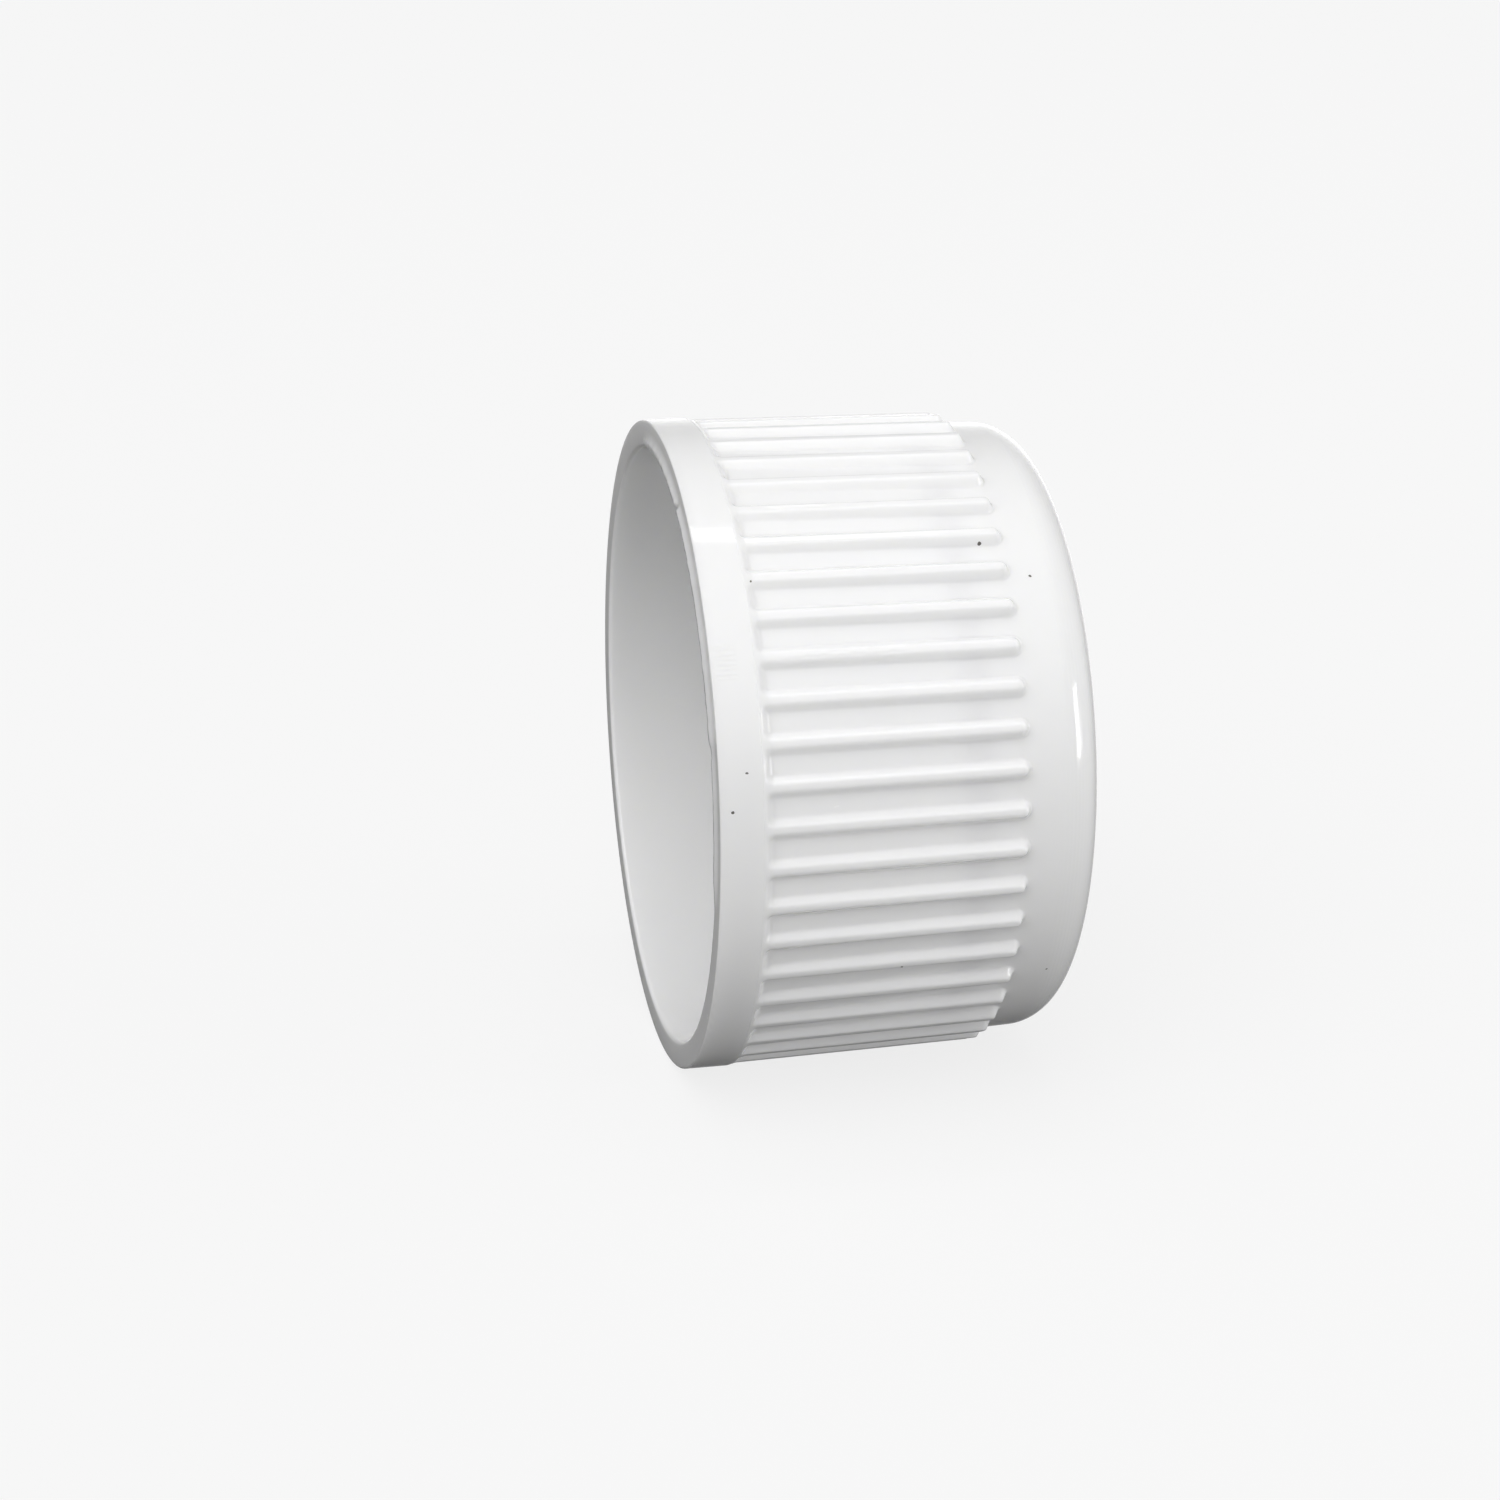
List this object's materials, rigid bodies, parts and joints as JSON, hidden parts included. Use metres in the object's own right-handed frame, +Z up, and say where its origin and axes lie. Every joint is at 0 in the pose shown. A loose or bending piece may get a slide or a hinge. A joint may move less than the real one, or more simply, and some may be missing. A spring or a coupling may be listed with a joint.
{
  "type": "pipe cap",
  "caption": "White push-on end cap for a round pipe: plain band at the mouth, straight grip ribs, rounded closed end and a rubber sealing ring inside.",
  "frame": {"origin": "centre of the open mouth, where the pipe goes in", "axes": "+X along the cap's axis from the mouth towards the closed end, +Z up with the cap lying on its side, a rib at top and bottom"},
  "size_m": [0.0325, 0.0554, 0.0555],
  "materials": {
    "cap_plastic": "glossy",
    "ring_rubber": "matte"
  },
  "bodies": {
    "root": {"cap_body": "cap_plastic", "sealing_ring": "ring_rubber"}
  },
  "joints": []
}
